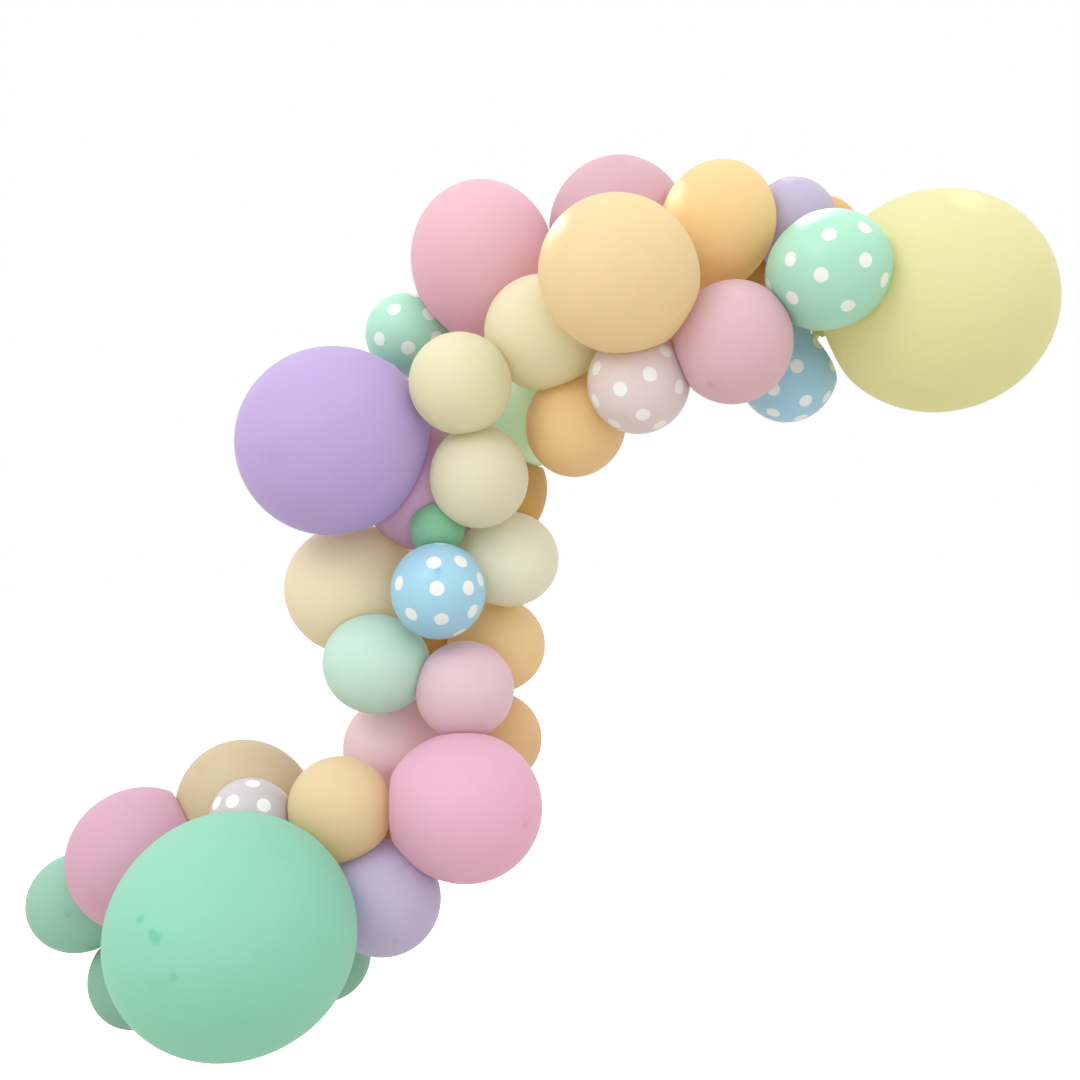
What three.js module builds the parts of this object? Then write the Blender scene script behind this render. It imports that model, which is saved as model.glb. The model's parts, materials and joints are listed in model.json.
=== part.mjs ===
// Balloon garland: 43 latex balloons clustered along a clear garland tape that hangs on a wall.
//
// Frame: millimetres, +Z up, +X to the right and -Y towards the viewer. The wall is the plane y = 0.
// The origin is on the back of the tape, at the top hook.
//
// Every balloon is a turned body that tapers to a throat, with a knot and a rolled lip in one piece.
// A balloon rests on the wall side, or leans on the balloons behind it, and where two balloons press
// on each other both go flat on one shared plane.

import * as THREE from 'three';

// Driving sizes
const BACK_CLEARANCE = 5;       // from the wall to the balloons that sit farthest back
const CONTACT_GAP = 0.4;        // left between two pressed faces
const USUAL_SQUEEZE = 0.92;     // distance between two pressed balloons, over the sum of their radii
const USUAL_TILT = 40;          // degrees that a neck points back from the front view's plane
const NECK_HALF = 1.12;         // length of the neck half of a body, over that of its crown half
const POINTED_END = 0.1;        // how far the neck half is drawn out into a cone
const NECK_CLEARANCE = 7;       // kept between a neck and the balloons around it
const NECK_STARTS = 0.88;       // where that room is first needed, over the distance of the throat
const MOST_LEAN = 60;           // degrees that a neck may turn from its stated direction
const LEAN_STEP = 6;            // degrees between the leans that are tried
const TURN_STEP = 20;           // degrees between the ways to lean that are tried
const NECK_PARTS = 4;           // lengths into which a neck is divided to find the room around it
const LEAST_BACK = 0.1;         // backward part of every neck's direction, so that none shows in front
const NECK_STATIONS = [0.84, 0.92, 1];  // where a neck dents its neighbours, over the throat's distance
const NEIGHBOURS = 1.5;         // distance up to which balloons can press, over the sum of their radii

const SMALL = {
  segments: 12,
  crownRings: [58, 28, 0],
  neckRings: [32, 62],
  throat: 5,
  knot: 8.5,
  lip: 11,
  knotAt: 10,
  lipAt: 26,
};
const LARGE = {
  segments: 16,
  crownRings: [68, 45, 22, 0],
  neckRings: [24, 46, 68],
  throat: 7,
  knot: 12,
  lip: 16,
  knotAt: 15,
  lipAt: 34,
};
const LARGE_FROM = 340;         // a balloon this wide or wider has the large neck and finer steps

const TAPE_WIDTH = 16;
const TAPE_THICKNESS = 1;
const TAPE_STEPS = 40;

// The middle of the tape as [x, z], from its lower left end to its right end
const TAPE_ROUTE = [
  [-1225, -1675], [-1015, -1560], [-805, -1470], [-625, -1340], [-540, -1155], [-550, -960],
  [-503, -785], [-490, -600], [-455, -405], [-358, -205], [-212, -75], [0, 0], [210, 5],
  [395, 5], [580, 0],
];

const FINISHES = {
  pink: { color: 0xe6a9bd, roughness: 0.5 },
  orange: { color: 0xf0bf77, roughness: 0.5 },
  gold: { color: 0xc9962f, roughness: 0.5 },
  lemon: { color: 0xe4dfa0, roughness: 0.5 },
  mint: { color: 0x93dcbc, roughness: 0.5 },
  sage: { color: 0x8fb48e, roughness: 0.5 },
  peach: { color: 0xd9bd92, roughness: 0.5 },
  lilac: { color: 0xb9a5d6, roughness: 0.5 },
  green: { color: 0x5bb98c, roughness: 0.5 },
  blue_dots: { color: 0x8cc5df, roughness: 0.35 },
  mint_dots: { color: 0x8fd3b0, roughness: 0.35 },
  white_dots: { color: 0xd9d0cf, roughness: 0.35 },
  tape: { color: 0xe8eef0, roughness: 0.25 },
};

// One row for each balloon. x and z place its widest circle in the front view, across is its diameter
// and long its length over its diameter. neck is the direction of the neck in the front view, in
// degrees from +X towards +Z, and tilt how far the neck points back. leansOn names what it lies in
// front of and presses on.
const BALLOONS = [
  { name: 'peach_low', finish: 'peach', x: -1018, z: -1343, across: 350, long: 1.04, neck: -50 },
  { name: 'sage_far_left', finish: 'sage', x: -1452, z: -1590, across: 255, long: 1.09, neck: 20 },
  { name: 'sage_low_left', finish: 'sage', x: -1311, z: -1790, across: 240, long: 1.08, neck: 75 },
  { name: 'sage_low_right', finish: 'sage', x: -822, z: -1723, across: 240, long: 1.03, neck: 90 },
  { name: 'pink_mid_low', finish: 'pink', x: -636, z: -1192, across: 269, long: 1.02, neck: -10 },
  { name: 'peach_low_right', finish: 'peach', x: -383, z: -1167, across: 240, long: 1.03, neck: 175 },
  { name: 'peach_left', finish: 'peach', x: -745, z: -780, across: 335, long: 1.05, neck: 0 },
  { name: 'orange_mid', finish: 'orange', x: -377, z: -924, across: 245, long: 1.04, neck: 175,
    squeeze: 0.97, leansOn: ['gold_behind'] },
  { name: 'mint_dots_up', finish: 'mint_dots', x: -605, z: -125, across: 215, long: 1.06, neck: -30 },
  { name: 'pink_up_left', finish: 'pink', x: -411, z: 61, across: 367, long: 1.12, neck: -84 },
  { name: 'pink_top', finish: 'pink', x: -64, z: 141, across: 355, long: 1.06, neck: -80 },
  { name: 'lemon_giant', finish: 'lemon', x: 737, z: -55, across: 556, long: 1.09, neck: 192,
    tilt: 40, neckHalf: 1.02 },
  { name: 'blue_dots_right', finish: 'blue_dots', x: 375, z: -218, across: 255, long: 1.08, neck: 58 },
  { name: 'sage_up', finish: 'sage', x: -315, z: -350, across: 250, long: 1.02, neck: 180 },

  // Seen only through the gaps between the others
  { name: 'orange_behind', finish: 'orange', x: 461, z: 134, across: 206, long: 1.04, neck: 215 },
  { name: 'gold_up_right', finish: 'gold', x: 215, z: 5, across: 250, long: 1.02, neck: 90 },
  { name: 'gold_up', finish: 'gold', x: 32, z: -126, across: 235, long: 1.02, neck: 120 },
  { name: 'gold_mid', finish: 'gold', x: -365, z: -530, across: 235, long: 1.15, neck: -105, tilt: 15 },
  { name: 'lilac_behind', finish: 'lilac', x: -555, z: -519, across: 325, long: 1.02, neck: 85,
    squeeze: 0.985, leansOn: ['peach_left'] },
  { name: 'gold_behind', finish: 'gold', x: -590, z: -955, across: 205, long: 1.02, neck: 55 },
  { name: 'gold_low', finish: 'gold', x: -650, z: -1420, across: 255, long: 1.02, neck: 60 },

  // The layers in front
  { name: 'pink_low_left', finish: 'pink', x: -1280, z: -1462, across: 352, long: 1.06, neck: 30,
    tilt: 80, squeeze: 0.82, leansOn: ['sage_far_left', 'peach_low'] },
  { name: 'white_dots_low', finish: 'white_dots', x: -975, z: -1345, across: 205, long: 1.04, neck: -37,
    tilt: 8, squeeze: 0.72, leansOn: ['peach_low'] },
  { name: 'lilac_low', finish: 'lilac', x: -656, z: -1541, across: 290, long: 1.02, neck: 165, tilt: 55,
    leansOn: ['sage_low_right', 'gold_low'] },
  { name: 'orange_low', finish: 'orange', x: -757, z: -1315, across: 256, long: 1.03, neck: -60,
    leansOn: ['peach_low', 'white_dots_low', 'pink_mid_low', 'lilac_low', 'gold_low'] },
  { name: 'pink_big_low', finish: 'pink', x: -446, z: -1311, across: 371, long: 1.01, neck: 172, tilt: 50,
    squeeze: 0.95, leansOn: ['pink_mid_low', 'peach_low_right', 'lilac_low', 'gold_low', 'pink_small'] },
  { name: 'mint_mid', finish: 'mint', x: -678, z: -963, across: 250, long: 1.05, neck: -10,
    squeeze: 0.82, leansOn: ['peach_left', 'pink_mid_low', 'gold_behind'] },
  { name: 'pink_small', finish: 'pink', x: -451, z: -1027, across: 243, long: 1.03, neck: 225, tilt: 60,
    squeeze: 0.955, leansOn: ['mint_mid', 'orange_mid', 'pink_mid_low', 'peach_low_right', 'gold_behind'] },
  { name: 'lemon_mid', finish: 'lemon', x: -344, z: -703, across: 240, long: 1.08, neck: 180,
    leansOn: ['orange_mid', 'gold_mid'] },
  { name: 'lilac_giant', finish: 'lilac', x: -781, z: -410, across: 466, long: 1.05, neck: 20,
    tilt: 58, squeeze: 0.74, leansOn: ['mint_dots_up', 'peach_left', 'lilac_behind'] },
  { name: 'green_mini', finish: 'green', x: -520, z: -625, across: 138, long: 1.02, neck: 250, tilt: 60,
    squeeze: 0.72, leansOn: ['lilac_behind', 'peach_left', 'gold_mid'] },
  { name: 'blue_dots_mid', finish: 'blue_dots', x: -514, z: -779, across: 234, long: 1.02, neck: -90,
    tilt: 66, leansOn: ['peach_left', 'mint_mid', 'lemon_mid', 'orange_mid', 'green_mini', 'gold_behind'] },
  { name: 'orange_up', finish: 'orange', x: -175, z: -364, across: 250, long: 1.13, neck: 74,
    squeeze: 0.88, leansOn: ['sage_up', 'gold_mid'] },
  { name: 'lemon_up', finish: 'lemon', x: -260, z: -140, across: 285, long: 1.02, neck: -42, tilt: 50,
    leansOn: ['pink_up_left', 'sage_up', 'orange_up'] },
  { name: 'lemon_centre', finish: 'lemon', x: -415, z: -502, across: 243, long: 1.06, neck: 160,
    tilt: 60, squeeze: 0.8,
    leansOn: ['green_mini', 'lemon_mid', 'sage_up', 'gold_mid', 'lilac_behind', 'lilac_giant'] },
  { name: 'lemon_left', finish: 'lemon', x: -460, z: -273, across: 248, long: 1.01, neck: -41,
    tilt: 62, squeeze: 0.98,
    leansOn: ['lilac_giant', 'mint_dots_up', 'pink_up_left', 'sage_up', 'lemon_centre'] },
  { name: 'white_dots_up', finish: 'white_dots', x: -25, z: -270, across: 250, long: 1.04, neck: 70,
    leansOn: ['orange_up', 'gold_up'] },
  { name: 'orange_big', finish: 'orange', x: -80, z: -20, across: 375, long: 1.04, neck: -41, tilt: 53,
    squeeze: 0.9, leansOn: ['pink_top', 'pink_up_left', 'lemon_up', 'white_dots_up', 'gold_up'] },
  { name: 'lilac_up', finish: 'lilac', x: 375, z: 145, across: 220, long: 1.06, neck: -90,
    squeeze: 0.8, leansOn: ['orange_behind'] },
  { name: 'orange_top', finish: 'orange', x: 176, z: 131, across: 285, long: 1.13, neck: -106,
    squeeze: 0.86, leansOn: ['pink_top', 'lilac_up', 'gold_up_right'] },
  { name: 'pink_up_right', finish: 'pink', x: 200, z: -180, across: 290, long: 1.05, neck: 66, tilt: 46,
    squeeze: 0.91, leansOn: ['white_dots_up', 'orange_top', 'blue_dots_right', 'gold_up_right'] },
  { name: 'mint_dots_right', finish: 'mint_dots', x: 438, z: 0, across: 285, long: 1.08, neck: 209,
    squeeze: 0.86, leansOn: ['lilac_up', 'orange_behind', 'lemon_giant', 'blue_dots_right'] },
  { name: 'mint_giant', finish: 'mint', x: -986, z: -1583, across: 572, long: 1.25, neck: 24,
    tilt: 68, neckHalf: 0.86, squeeze: 0.85,
    leansOn: ['pink_low_left', 'sage_low_left', 'sage_low_right', 'white_dots_low', 'orange_low',
      'lilac_low'] },
];

const rowOf = new Map(BALLOONS.map((row) => [row.name, row]));
const toRadians = THREE.MathUtils.degToRad;

// How far in front of the wall a balloon's centre is: clear of the wall, and squeezed against each
// balloon that it leans on and reaches
const depthOf = new Map();
function depth(name) {
  if (depthOf.has(name)) {
    return depthOf.get(name);
  }
  const row = rowOf.get(name);
  let y = -(row.across / 2 + BACK_CLEARANCE);
  for (const behind of row.leansOn ?? []) {
    const other = rowOf.get(behind);
    const apart = (row.squeeze ?? USUAL_SQUEEZE) * (row.across + other.across) / 2;
    const sideways = Math.hypot(row.x - other.x, row.z - other.z);
    if (sideways < apart) {
      y = Math.min(y, depth(behind) - Math.sqrt(apart ** 2 - sideways ** 2));
    }
  }
  depthOf.set(name, y);
  return y;
}

// Half outline of a balloon from its lip to its crown, as distances from the axis and along it. The
// crown half is half an ellipse, and the neck half is drawn out into a cone that ends in the throat.
function outline(radius, long, neckHalf, size) {
  const crown = radius * long;
  const neck = crown * neckHalf;
  const points = [];
  const reach = (degrees) => {
    const turn = toRadians(degrees);
    return neck * (Math.sin(turn) + POINTED_END * (degrees / 90) ** 8);
  };
  const throatAt = reach(90);
  points.push(new THREE.Vector2(0, -throatAt - size.lipAt));
  points.push(new THREE.Vector2(size.lip, -throatAt - size.lipAt));
  points.push(new THREE.Vector2(size.knot, -throatAt - size.knotAt));
  points.push(new THREE.Vector2(size.throat, -throatAt));
  for (const degrees of [...size.neckRings].reverse()) {
    points.push(new THREE.Vector2(radius * Math.cos(toRadians(degrees)), -reach(degrees)));
  }
  for (const degrees of [...size.crownRings].reverse()) {
    const turn = toRadians(degrees);
    points.push(new THREE.Vector2(radius * Math.cos(turn), crown * Math.sin(turn)));
  }
  points.push(new THREE.Vector2(0, crown));
  return { points, throatAt };
}

// A balloon's place, size and outline
function makeBalloon(row) {
  const radius = row.across / 2;
  const size = row.across < LARGE_FROM ? SMALL : LARGE;
  const centre = new THREE.Vector3(row.x, depth(row.name), row.z);
  return { ...row, radius, size, centre, ...outline(radius, row.long, row.neckHalf ?? NECK_HALF, size) };
}

// The unit direction of a neck at an angle in the front view, pointing back by a tilt
function neckDirection(angle, tilt) {
  const flat = Math.cos(toRadians(tilt));
  return new THREE.Vector3(
    flat * Math.cos(toRadians(angle)),
    Math.sin(toRadians(tilt)),
    flat * Math.sin(toRadians(angle)),
  );
}

// The room around a neck that points in a direction: its least distance to the other balloons, to
// the necks already placed and to the tape behind
function roomAround(balloon, direction, others, placed) {
  const start = NECK_STARTS * balloon.throatAt;
  const end = balloon.throatAt + balloon.size.lipAt;
  let room = Infinity;
  for (let step = 0; step <= NECK_PARTS; step += 1) {
    const along = start + (end - start) * step / NECK_PARTS;
    const point = balloon.centre.clone().addScaledVector(direction, along);
    for (const other of others) {
      room = Math.min(room, point.distanceTo(other.centre) - other.radius);
    }
    for (const neck of placed) {
      const near = neck.closestPointToPoint(point, true, new THREE.Vector3());
      room = Math.min(room, point.distanceTo(near) - balloon.size.lip);
    }
    room = Math.min(room, -BACK_CLEARANCE - point.y);
  }
  return room - balloon.size.lip;
}

// Turns each neck from its stated direction, as little as it takes, into a hollow between its
// neighbours
function placeNecks(balloons) {
  const placed = [];
  for (const balloon of balloons) {
    const others = balloons.filter((other) => other !== balloon);
    const wanted = neckDirection(balloon.neck, balloon.tilt ?? USUAL_TILT);
    const side = new THREE.Vector3(0, 1, 0).cross(wanted).normalize();
    let best = wanted;
    let bestRoom = roomAround(balloon, wanted, others, placed);
    for (let lean = LEAN_STEP; lean <= MOST_LEAN && bestRoom < NECK_CLEARANCE; lean += LEAN_STEP) {
      for (let turn = 0; turn < 360; turn += TURN_STEP) {
        const direction = wanted.clone().applyAxisAngle(side, toRadians(lean));
        direction.applyAxisAngle(wanted, toRadians(turn));
        const room = roomAround(balloon, direction, others, placed);
        if (direction.y > LEAST_BACK && room > bestRoom) {
          best = direction;
          bestRoom = room;
        }
      }
    }
    balloon.direction = best;
    const tip = balloon.throatAt + balloon.size.lipAt;
    placed.push(new THREE.Line3(
      balloon.centre.clone().addScaledVector(best, balloon.radius),
      balloon.centre.clone().addScaledVector(best, tip),
    ));
  }
}

// The radius of a balloon's outline at a distance from its centre towards the throat
function radiusAt(balloon, along) {
  const after = balloon.points.findIndex((point) => point.y > -along);
  const from = balloon.points[after - 1];
  const to = balloon.points[after];
  return THREE.MathUtils.mapLinear(-along, from.y, to.y, from.x, to.x);
}

// The planes on which a balloon is pressed flat, seen from its centre. One is in front of the wall.
// One is shared with each neighbour, through the circle where the two round bodies would meet. The
// others touch the necks of its neighbours.
function pressedPlanes(balloon, balloons) {
  const wall = new THREE.Vector3(0, 1, 0);
  const planes = [{ normal: wall, reach: -BACK_CLEARANCE - balloon.centre.y }];
  for (const other of balloons) {
    const between = other.centre.clone().sub(balloon.centre);
    const apart = between.length();
    if (other !== balloon && apart < NEIGHBOURS * (balloon.radius + other.radius)) {
      const reach = (apart ** 2 + balloon.radius ** 2 - other.radius ** 2) / (2 * apart);
      planes.push({ normal: between.clone().normalize(), reach: reach - CONTACT_GAP / 2 });
      for (const station of NECK_STATIONS) {
        const along = station * other.throatAt;
        const spot = between.clone().addScaledVector(other.direction, along);
        const free = spot.length() - radiusAt(other, along) - CONTACT_GAP;
        planes.push({ normal: spot.normalize(), reach: free });
      }
    }
  }
  return planes;
}

// A balloon as a turned solid, drawn in towards its centre wherever it would cross a pressed plane.
// Only the body gives way: the throat, knot and lip lie in a hollow.
function balloonMesh(balloon, balloons) {
  const geometry = new THREE.LatheGeometry(balloon.points, balloon.size.segments);
  const planes = pressedPlanes(balloon, balloons);
  const crownUp = new THREE.Vector3(0, 1, 0);
  const turn = new THREE.Quaternion().setFromUnitVectors(crownUp, balloon.direction.clone().negate());
  const places = geometry.attributes.position;
  const point = new THREE.Vector3();
  for (let i = 0; i < places.count; i += 1) {
    point.fromBufferAttribute(places, i);
    if (point.y > -balloon.throatAt + 1) {
      const seen = point.clone().applyQuaternion(turn);
      let keep = 1;
      for (const plane of planes) {
        const height = seen.dot(plane.normal);
        if (height > plane.reach) {
          keep = Math.min(keep, plane.reach / height);
        }
      }
      point.multiplyScalar(keep);
      places.setXYZ(i, point.x, point.y, point.z);
    }
  }
  geometry.computeVertexNormals();
  const mesh = new THREE.Mesh(geometry, new THREE.MeshStandardMaterial(FINISHES[balloon.finish]));
  mesh.name = balloon.name;
  mesh.position.copy(balloon.centre);
  mesh.quaternion.copy(turn);
  return mesh;
}

// The flat tape that the balloons are tied along: a band of even width beside a smooth curve, with
// square ends, standing on edge in the plane of the wall
function tapeMesh() {
  const middle = new THREE.SplineCurve(TAPE_ROUTE.map(([x, z]) => new THREE.Vector2(x, z)));
  const left = [];
  const right = [];
  for (let step = 0; step <= TAPE_STEPS; step += 1) {
    const point = middle.getPointAt(step / TAPE_STEPS);
    const along = middle.getTangentAt(step / TAPE_STEPS);
    const across = new THREE.Vector2(-along.y, along.x).multiplyScalar(TAPE_WIDTH / 2);
    left.push(point.clone().add(across));
    right.push(point.clone().sub(across));
  }
  const band = new THREE.Shape([...right, ...left.reverse()]);
  const geometry = new THREE.ExtrudeGeometry(band, { depth: TAPE_THICKNESS, bevelEnabled: false });
  geometry.rotateX(Math.PI / 2);
  const mesh = new THREE.Mesh(geometry, new THREE.MeshStandardMaterial(FINISHES.tape));
  mesh.name = 'garland_tape';
  return mesh;
}

const garland = new THREE.Group();
const balloons = BALLOONS.map(makeBalloon);
placeNecks(balloons);
for (const balloon of balloons) {
  garland.add(balloonMesh(balloon, balloons));
}
garland.add(tapeMesh());

export default garland;
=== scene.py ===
"""Balloon garland: latex balloons with their knots on a clear tape, their finishes, light and camera.

Every size is in metres, apart from the stems in millimetres. +Z is up, +X is to the right and -Y is
towards the viewer.
"""
import json
import math

import bmesh
import bpy
import numpy as np
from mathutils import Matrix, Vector


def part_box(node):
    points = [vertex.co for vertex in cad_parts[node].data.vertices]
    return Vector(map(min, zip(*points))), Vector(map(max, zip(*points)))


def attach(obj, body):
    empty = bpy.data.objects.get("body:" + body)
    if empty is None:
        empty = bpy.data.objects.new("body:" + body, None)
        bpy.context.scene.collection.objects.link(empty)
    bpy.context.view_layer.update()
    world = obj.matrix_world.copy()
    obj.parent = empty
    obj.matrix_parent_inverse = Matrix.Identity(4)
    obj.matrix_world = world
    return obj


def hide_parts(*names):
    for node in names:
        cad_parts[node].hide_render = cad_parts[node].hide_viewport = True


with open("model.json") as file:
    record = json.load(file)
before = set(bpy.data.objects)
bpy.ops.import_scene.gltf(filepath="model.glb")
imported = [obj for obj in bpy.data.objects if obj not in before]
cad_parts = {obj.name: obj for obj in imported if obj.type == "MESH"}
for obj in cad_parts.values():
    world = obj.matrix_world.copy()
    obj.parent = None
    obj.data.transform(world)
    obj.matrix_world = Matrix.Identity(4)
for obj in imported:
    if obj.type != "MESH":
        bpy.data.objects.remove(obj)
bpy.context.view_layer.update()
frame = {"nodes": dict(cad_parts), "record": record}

bl_info = {
    "name": "Balloon Garland",
    "version": (1, 0, 0),
    "blender": (4, 5, 0),
    "location": "View3D > Sidebar > Garland",
    "description": "Builds a garland of pastel latex balloons on a clear tape",
    "category": "Object",
}

SLOT_OF = {part["node"]: part["material_slot"] for part in frame["record"]["subparts"]}
TAPE_NODE = "garland_tape"
BALLOON_NODES = [name for name in frame["nodes"] if name != TAPE_NODE]

# How a balloon's neck half is drawn out into a cone, and where its neck dents its neighbours
POINTED_END = 0.1
NECK_STATIONS = (0.84, 0.92, 1.0)
BACK_CLEARANCE = 0.005
CONTACT_GAP = 0.0004
NEIGHBOUR_WITHIN = 1.5          # times the sum of two radii
LEAST_SLANT = 0.01              # below this a plane is taken as never reached

# The stems as (radius, distance past the throat) in millimetres: throat, knot, tail, rolled lip and the
# cup inside
SMALL_STEM = (
    (4.7, 1.2), (4.9, 2.8), (7.0, 4.6), (8.5, 7.0), (8.9, 9.5), (8.3, 12.0), (6.4, 14.4),
    (4.6, 16.2), (4.5, 18.2), (5.6, 20.4), (7.6, 22.8), (9.6, 24.6), (10.9, 25.2), (11.8, 25.9),
    (11.9, 27.0), (11.1, 27.8), (10.0, 27.5), (8.2, 26.0), (5.6, 24.0), (2.8, 22.9),
)
LARGE_STEM = (
    (6.6, 1.6), (6.8, 3.8), (9.8, 6.4), (12.0, 10.0), (12.6, 13.6), (11.8, 17.2), (9.0, 20.4),
    (6.5, 22.6), (6.3, 25.0), (7.8, 27.6), (10.8, 30.4), (13.9, 32.4), (15.7, 33.1), (16.8, 34.0),
    (16.9, 35.3), (15.8, 36.2), (14.4, 35.8), (11.8, 34.0), (8.0, 31.6), (4.0, 30.2),
)
SMALL_STEM_LONG = 0.026         # from the throat to the flat end of the lip
LARGE_STEM_LONG = 0.034
LARGE_FROM = 0.169              # radius from which a balloon has the large stem
GIANT_FROM = 0.22

# How the flat end of a lip is known among the faces of a solid
LEAST_RIM = 12                  # corners that it has at least
LEAST_AREA = 1e-8
FLAT_WITHIN = 0.00002
LIP_WITHIN = 0.0005
LEAST_HEIGHT = 0.001            # above the widest circle, where the crown's length can be told

# Stretches of a balloon as angles from its widest circle: 90 at the throat, then one for each step of
# the stem
BODY_ENDS = 62
GIVES_WAY = (66, 86)
PLEATED = (60, 90, 94)
KNOTTED = (91, 94, 97, 100)
LIP_STARTS = (99, 103)
DEEP_NECK = (55, 90)

# Depth of the pleats, the twists of the knot and the waves of the lip, over the radius there
PLEAT_DEPTH = 0.13
TWIST_DEPTH = 0.09
WAVE_DEPTH = 0.06
LIP_LIFT = 0.0012               # how far the lip waves up and down

# How far latex keeps its thick, deep colour at the neck and round the crown
NECK_DEEPENS = 0.85
CROWN_DEEPENS = 0.25
CROWN_REACH = 0.12              # of the radius
FAINT_SPOT = 0.95               # keeps a crown's spot faint where the photograph shows none
NO_SPOT = 9.0                   # distance, in radii of a spot, past which nothing changes
DOT_TRIES = 600                 # places tried for the dots round the back

# Segments round a balloon, rings on its crown half and rings on its neck half
SMALL_MESH = (80, 22, 26)
PRINTED_MESH = (120, 32, 36)
LARGE_MESH = (112, 30, 34)
GIANT_MESH = (160, 44, 48)

# How plain and printed latex take the light; glow is the share of the set glow that each lets through
PLAIN_LATEX = {"roughness": 0.5, "gloss": 0.25, "sheen": 0.22, "glow": 1.0}
PRINTED_LATEX = {"roughness": 0.36, "gloss": 0.4, "sheen": 0.08, "glow": 0.5}
LATEX_IOR = 1.45
LATEX_MOTTLE = 0.05
SHEEN_ROUGHNESS = 0.4
DEEPER = 1.45                   # power that turns a colour into that of thick latex
TAPE_DEEPER = 1.2
TAPE_IOR = 1.46
TAPE_CLEARNESS = 0.65

# The camera of the photograph, whose frame is square
FRAME_PIXELS = 1080
CAMERA_AT = Vector((-0.265, -5.55, -0.655))
CAMERA_LENS = 70.0
CAMERA_SENSOR = 36.0
CAMERA_REACH = 200

# The key lamp at the upper left, the light round the garland and the floor
KEY_AT = (-3.6, -4.6, 3.4)
KEY_AIM = (-0.3, -0.4, -0.7)
KEY_ACROSS = 2.4
BRIGHTEST_AT = 0.8              # height on the unit sphere from which the light from above is full
FLOOR_REACH = 60.0
FLOOR_SHADES = (0.78, 0.82)
GLINT_BLEND = 0.5
GLINT_LAMP_RADIUS = 0.02

# Where direct light grazes the rims of balloons: the spot, the way to the lamp, the reach of the light
# on the balloon and its share of the power that is set
GLINTS = {
    "orange_big": ((-0.232, -0.637, 0.064), (-0.99, 1.58, 1.17), 0.050, 0.22),
    "orange_top": ((0.060, -0.405, 0.192), (-1.10, 1.10, 1.54), 0.034, 0.55),
    "mint_dots_right": ((0.400, -0.540, 0.118), (-0.30, 1.60, 1.40), 0.060, 0.5),
    "lemon_giant": ((0.774, -0.443, 0.165), (0.10, -0.30, 2.10), 0.045, 0.1),
}

# Centres of the printed dots that the photograph shows, in its pixels
DOTS_SEEN = {
    "mint_dots_right": (
        (829, 234), (865, 227.5), (790, 259), (866, 260), (821, 275), (792, 298), (848, 306),
        (885, 280), (768, 286), (771, 248),
    ),
    "mint_dots_up": ((394, 309), (379, 339), (408, 348), (429, 314), (417, 295), (391, 367), (437, 338)),
    "blue_dots_mid": (
        (433.7, 562.2), (461.2, 560.9), (398.4, 583.1), (436.9, 588.4), (468.8, 587.8),
        (480.8, 579.2), (411, 614.5), (441.6, 619.5), (473, 611.6), (440.3, 543.1), (459.9, 632.8),
        (406.3, 554.9),
    ),
    "blue_dots_right": (
        (819, 342), (797, 366), (833, 364.5), (773, 389), (806, 401), (827, 397), (773, 413),
        (801, 418),
    ),
    "white_dots_up": (
        (596, 368), (650, 374), (620, 389), (666, 351), (680, 387), (595, 401), (643, 415),
        (614, 424), (660, 425),
    ),
    "white_dots_low": ((253, 783), (232, 801), (264, 805), (285, 791), (216, 803)),
}

# Thick spots and scuffs that the photograph shows, in its pixels, with their radius in metres
MARKS_SEEN = {
    "pink_up_right": ((710, 385, 0.014),),
    "blue_dots_mid": ((438, 571, 0.009),),
    "pink_big_low": ((525, 825, 0.010),),
    "lilac_low": ((395, 941, 0.010),),
    "mint_giant": ((140, 919, 0.013), (156, 938, 0.016), (173, 978, 0.012), (152, 933, 0.012)),
    "sage_far_left": ((68, 915, 0.009),),
}

# The middle of the tape as (x, z), from its lower left end to its right end
TAPE_ROUTE = (
    (-1.225, -1.675), (-1.015, -1.560), (-0.805, -1.470), (-0.625, -1.340), (-0.540, -1.155),
    (-0.550, -0.960), (-0.503, -0.785), (-0.490, -0.600), (-0.455, -0.405), (-0.358, -0.205),
    (-0.212, -0.075), (0.0, 0.0), (0.210, 0.005), (0.395, 0.005), (0.580, 0.0),
)
TAPE_WIDTH = 0.016
TAPE_THICKNESS = 0.001
ROUTE_STEPS = 24                # between two points of the route
END_STEPS, SIDE_STEPS = 6, 8    # corners along the end and the side of one length with a hole
SAME_PLACE = 1e-6

# Display codes of the finishes
FINISH_CODES = {
    "pink": "EBC1D5",
    "orange": "F1D5A1",
    # The gold is painted shade: a darker, deeper copy of the apricot latex, the colour that balloons in the
    # shaded gaps show
    "gold": "DDB673",
    "lemon": "E6E3B2",
    "mint": "9DD9C2",
    "sage": "9ECBB5",
    "peach": "ECD8B4",
    "lilac": "C8B5E0",
    "green": "9CDAB4",
    "blue_dots": "A6D3E8",
    "mint_dots": "ADE0C8",
    # The white dotted ground is off-white with a pink cast; the cast is painted light, the glow thrown by
    # its pink neighbours
    "white_dots": "E2D2CF",
    "dot": "F4F6F0",
    "tape": "E8EEF0",
}
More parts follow.
